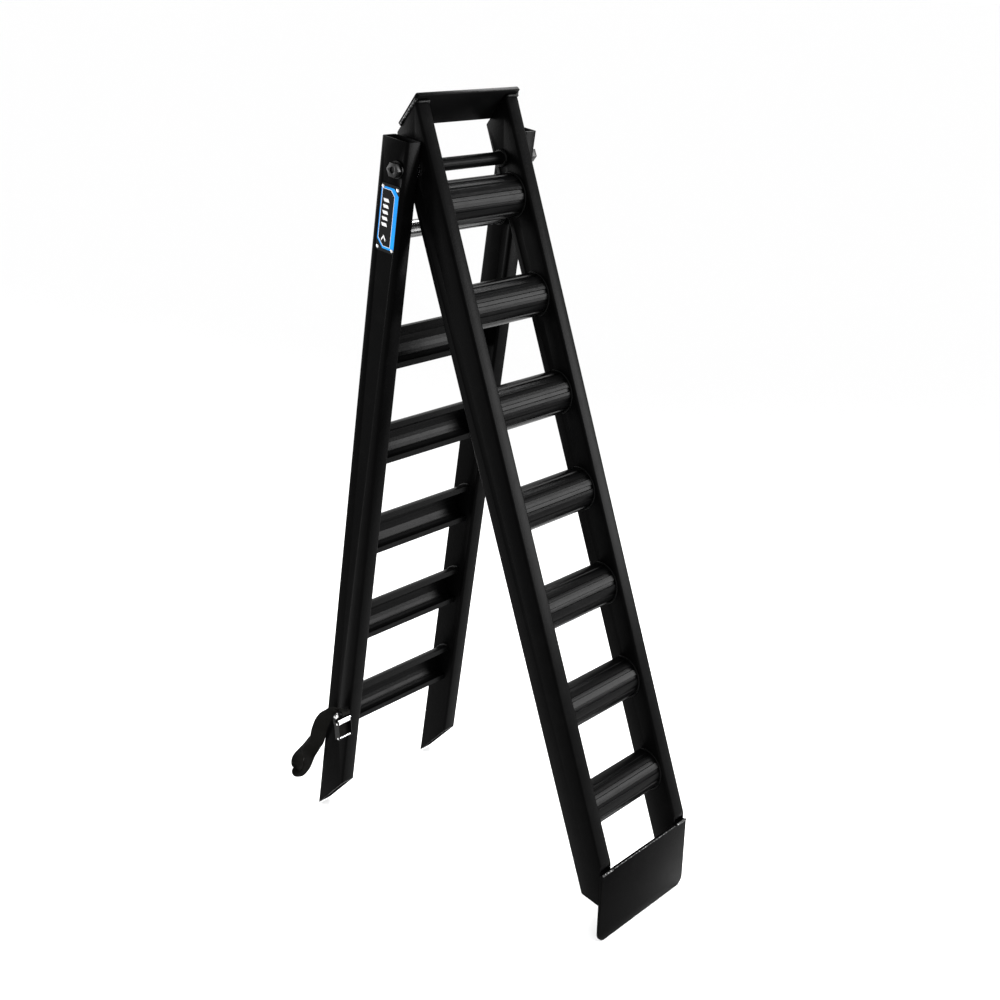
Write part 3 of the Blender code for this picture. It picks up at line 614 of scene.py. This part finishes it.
# The strap's route as (x, face, down, across x, across face, across up) in the lower half's
# axes. It stays within 1.5 millimetres of the route that the CAD solid strap_tail follows.
TAIL_ROUTE = (
    (-0.1510, -0.0199, 0.9058, 1.00, 0.00, 0.00),
    (-0.1510, -0.0167, 0.8922, 1.00, 0.00, 0.00),
    (-0.1510, -0.0142, 0.8815, 1.00, 0.00, 0.00),
    (-0.1510, -0.0128, 0.8752, 1.00, 0.00, 0.00),
    (-0.1508, -0.0155, 0.8700, 0.97, 0.12, -0.22),
    (-0.1495, -0.0185, 0.8660, 0.90, 0.22, -0.38),
    (-0.1500, -0.0174, 0.8618, 0.86, 0.22, -0.46),
    (-0.1510, -0.0112, 0.8598, 0.84, 0.18, -0.51),
    (-0.1525, -0.0036, 0.8611, 0.83, 0.12, -0.54),
    (-0.1530, 0.0031, 0.8654, 0.82, 0.05, -0.57),
    (-0.1535, 0.0089, 0.8723, 0.80, -0.05, -0.60),
    (-0.1540, 0.0149, 0.8803, 0.77, -0.20, -0.61),
    (-0.1540, 0.0208, 0.8900, 0.73, -0.36, -0.58),
    (-0.1545, 0.0263, 0.9028, 0.70, -0.52, -0.48),
    (-0.1550, 0.0303, 0.9185, 0.74, -0.53, -0.42),
    (-0.1525, 0.0345, 0.9334, 0.78, -0.52, -0.34),
    (-0.1500, 0.0390, 0.9487, 0.78, -0.58, -0.23),
    (-0.1500, 0.0465, 0.9630, 0.62, -0.78, 0.05),
    (-0.1520, 0.0520, 0.9765, 0.40, -0.90, 0.10),
    (-0.1528, 0.0525, 0.9890, -0.05, -0.97, 0.18),
    (-0.1530, 0.0543, 1.0011, -0.28, -0.93, 0.22),
    (-0.1546, 0.0589, 1.0132, -0.42, -0.88, 0.26),
    (-0.1551, 0.0661, 1.0207, -0.64, -0.74, 0.21),
    (-0.1528, 0.0719, 1.0217, -0.84, -0.52, 0.16),
    (-0.1501, 0.0778, 1.0159, -0.98, 0.02, 0.12),
    (-0.1483, 0.0805, 1.0069, -0.98, 0.14, 0.12),
    (-0.1465, 0.0788, 0.9965, -0.98, 0.14, 0.12),
    (-0.1443, 0.0741, 0.9860, -0.98, 0.12, 0.12),
    (-0.1428, 0.0684, 0.9750, -0.99, 0.04, 0.12),
    (-0.1414, 0.0629, 0.9641, -0.99, -0.04, 0.12),
    (-0.1399, 0.0574, 0.9531, -0.99, -0.04, 0.12),
    (-0.1387, 0.0514, 0.9421, -0.99, -0.04, 0.12),
    (-0.1379, 0.0454, 0.9316, -0.99, -0.04, 0.12),
)


def spline(values, position):
    """Catmull-Rom interpolation through a list of vectors."""
    index = min(int(position), len(values) - 2)
    part = position - index
    before = values[max(index - 1, 0)]
    start, end = values[index], values[index + 1]
    after = values[min(index + 2, len(values) - 1)]
    return 0.5 * (2 * start + (end - before) * part
                  + (2 * before - 5 * start + 4 * end - after) * part ** 2
                  + (3 * start - before - 3 * end + after) * part ** 3)


def strip_frames(steps):
    """Centre, square width direction, outward direction and distance run, along the route."""
    centres = [Vector((x, face, -down)) for x, face, down, *_across in TAIL_ROUTE]
    acrosses = [Vector(across) for _x, _face, _down, *across in TAIL_ROUTE]
    last = len(TAIL_ROUTE) - 1
    points = [spline(centres, last * step / steps) for step in range(steps + 1)]
    frames = []
    run = 0.0
    for step, centre in enumerate(points):
        along = (points[min(step + 1, steps)] - points[max(step - 1, 0)]).normalized()
        across = spline(acrosses, last * step / steps)
        across = (across - along * across.dot(along)).normalized()
        if step:
            run += (centre - points[step - 1]).length
        frames.append((centre, across, along.cross(across), run))
    return frames


STRAP_STEPS = 420
WEB_COLUMNS = 12
SELVEDGE = 0.14         # share of the half width that is edge


def selvedge_depth(share):
    """Half the webbing's thickness: slightly thicker beside the edge, then rounded off."""
    edge = max(0.0, abs(share) - (1 - SELVEDGE)) / SELVEDGE
    swell = 0.92 + 0.10 * min(1.0, edge * 3)
    return WEB_THICKNESS / 2 * swell * math.sqrt(1 - edge ** 4 * 0.9)


def strap(frames, material):
    """The webbing as a closed strip with rounded, slightly thicker edges."""
    shape = bmesh.new()
    strip = shape.loops.layers.uv.new("strip")
    rings = []
    for centre, across, out, run in frames:
        ring = []
        for face in (1, -1):
            for column in range(WEB_COLUMNS + 1):
                share = (column / WEB_COLUMNS - 0.5) * 2 * face
                depth = selvedge_depth(share)
                spot = centre + across * share * WEB_WIDTH / 2 + out * face * depth
                ring.append((shape.verts.new(spot), (share + 1) / 2 * WEB_WIDTH, run))
        rings.append(ring)
    count = len(rings[0])
    for first, second in zip(rings, rings[1:]):
        for index in range(count):
            following = (index + 1) % count
            corners = (first[index], first[following], second[following], second[index])
            made = shape.faces.new([corner[0] for corner in corners])
            for loop, corner in zip(made.loops, corners):
                loop[strip].uv = (corner[1], corner[2])
    for ring in (rings[0], rings[-1]):
        shape.faces.new([corner[0] for corner in ring])
    obj = piece("strap_webbing", shape, material, LOWER)
    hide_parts("strap_tail")


STITCH_BOX_WIDTH = 0.0185
STITCH_BOX_LENGTH = 0.0170
STITCH_STEP = 0.0026
STITCH_SIZE = (0.0011, 0.00035, 0.0003)
STITCH_GAP = 0.00005
STITCH_RUN = 0.168      # distance along the strap to the box's middle


def stitch_rows():
    """Stitch places as (across, along, angle) for a sewn box with a cross in it."""
    x, y = STITCH_BOX_WIDTH / 2, STITCH_BOX_LENGTH / 2
    corners = [(-x, -y), (x, -y), (x, y), (-x, y)]
    lines = list(zip(corners, corners[1:] + corners[:1]))
    lines += [(corners[0], corners[2]), (corners[1], corners[3])]
    rows = []
    for (x0, y0), (x1, y1) in lines:
        length = math.hypot(x1 - x0, y1 - y0)
        angle = math.atan2(y1 - y0, x1 - x0)
        count = int(length / STITCH_STEP)
        for index in range(count):
            share = (index + 0.5) / count
            rows.append((x0 + (x1 - x0) * share, y0 + (y1 - y0) * share, angle))
    return rows


def stitching(frames, middle_run, face, material):
    """Raised thread stitches on one side of the strap, round a point at a distance along it."""
    shape = bmesh.new()
    rng = random.Random(51)
    lift = WEB_THICKNESS / 2 + STITCH_GAP
    long, wide, high = STITCH_SIZE
    for across_by, along_by, angle in stitch_rows():
        wanted = middle_run + along_by
        index = min(range(len(frames)), key=lambda i: abs(frames[i][3] - wanted))
        centre, across, out, _run = frames[index]
        along = across.cross(out) * -1
        spot = centre + across * across_by + out * face * lift
        heading = across * math.cos(angle) + along * math.sin(angle)
        basis = Matrix((heading, out.cross(heading), out)).transposed().to_4x4()
        size = Matrix.Diagonal((long, wide * rng.uniform(0.85, 1.15), high, 1.0))
        bmesh.ops.create_icosphere(shape, subdivisions=2, radius=1.0,
                                   matrix=Matrix.Translation(spot) @ basis @ size)
    piece("strap_stitching", shape, material, LOWER)


def tie_strap():
    """The webbing and its stitching, on the lower half."""
    frames = strip_frames(STRAP_STEPS)
    strap(frames, webbing("webbing"))
    stitching(frames, STITCH_RUN, -1, thread("strap_thread"))


# ---------------------------------------------------------------- surroundings

CAMERA_STEP = Vector((-1.60607, -1.43976, 0.29462))
CAMERA_YAW = math.radians(50.0409)
CAMERA_PITCH = math.radians(-20.4923)
CAMERA_ROLL = math.radians(2.5702)
CAMERA_LENS = 53.647


def camera():
    """The camera, placed from the hinge by its yaw, pitch and roll."""
    data = bpy.data.cameras.new("camera")
    data.lens = CAMERA_LENS
    data.sensor_width = 36.0
    cos_pitch = math.cos(CAMERA_PITCH)
    forward = Vector((math.sin(CAMERA_YAW) * cos_pitch, math.cos(CAMERA_YAW) * cos_pitch,
                      math.sin(CAMERA_PITCH)))
    right = Vector((math.cos(CAMERA_YAW), -math.sin(CAMERA_YAW), 0.0))
    down = -right.cross(forward)
    cos_roll, sin_roll = math.cos(CAMERA_ROLL), math.sin(CAMERA_ROLL)
    across = cos_roll * right - sin_roll * down
    below = sin_roll * right + cos_roll * down
    world = Matrix((across, -below, -forward)).transposed().to_4x4()
    world.translation = HINGE + CAMERA_STEP
    obj = bpy.data.objects.new("camera", data)
    obj.matrix_world = world
    bpy.context.scene.collection.objects.link(obj)
    bpy.context.scene.camera = obj


FLOOR_RADIUS = 60.0
FLOOR_DROP = 0.0005
SURROUNDINGS_STRENGTH = 1.06


def floor():
    """A plain pale floor, wide enough to fill the view to its horizon."""
    shape = bmesh.new()
    bmesh.ops.create_circle(shape, cap_ends=True, segments=96, radius=FLOOR_RADIUS)
    mesh = bpy.data.meshes.new("floor")
    shape.to_mesh(mesh)
    shape.free()
    obj = bpy.data.objects.new("floor", mesh)
    obj.location = (0.0, 0.0, -FLOOR_DROP)
    bpy.context.scene.collection.objects.link(obj)
    n = Nodes("floor")
    n.set(Base_Color=(0.94, 0.94, 0.94, 1.0), Roughness=0.8, Specular_IOR_Level=0.05)
    mesh.materials.append(n.material)


SOFTBOX_SPREAD = math.radians(80)


def softbox(name, target, direction, distance, size, power):
    """A soft rectangular lamp at a distance from its target, facing it."""
    data = bpy.data.lights.new(name, "AREA")
    data.shape = "RECTANGLE"
    data.size, data.size_y = size
    data.energy = power
    data.spread = SOFTBOX_SPREAD
    obj = bpy.data.objects.new(name, data)
    step = Vector(direction).normalized()
    obj.location = Vector(target) + step * distance
    obj.rotation_mode = "QUATERNION"
    obj.rotation_quaternion = step.to_track_quat("Z", "Y")
    bpy.context.scene.collection.objects.link(obj)


def lights():
    """White surroundings and four soft lamps."""
    world = bpy.data.worlds.new("world")
    world.use_nodes = True
    background = world.node_tree.nodes["Background"]
    background.inputs["Color"].default_value = (1.0, 1.0, 1.0, 1.0)
    background.inputs["Strength"].default_value = SURROUNDINGS_STRENGTH
    bpy.context.scene.world = world
    softbox("key", (0.0, 0.0, 0.75), (0.72, -0.69, 0.25), 2.8, (1.3, 1.9), 44.0)
    softbox("top", (0.0, 0.0, 0.6), (0.70, 0.22, 0.68), 3.0, (1.2, 1.2), 16.0)
    softbox("left", (0.0, 0.1, 1.0), (-0.76, 0.60, -0.22), 2.2, (1.2, 0.9), 0.9)
    softbox("rear", (0.0, 0.1, 0.65), (-0.30, 0.92, 0.24), 2.8, (1.6, 1.6), 18.0)


dress_frame()
welds()
nameplate_print()
tie_strap()
camera()
floor()
lights()
bpy.context.scene.view_settings.view_transform = "Standard"
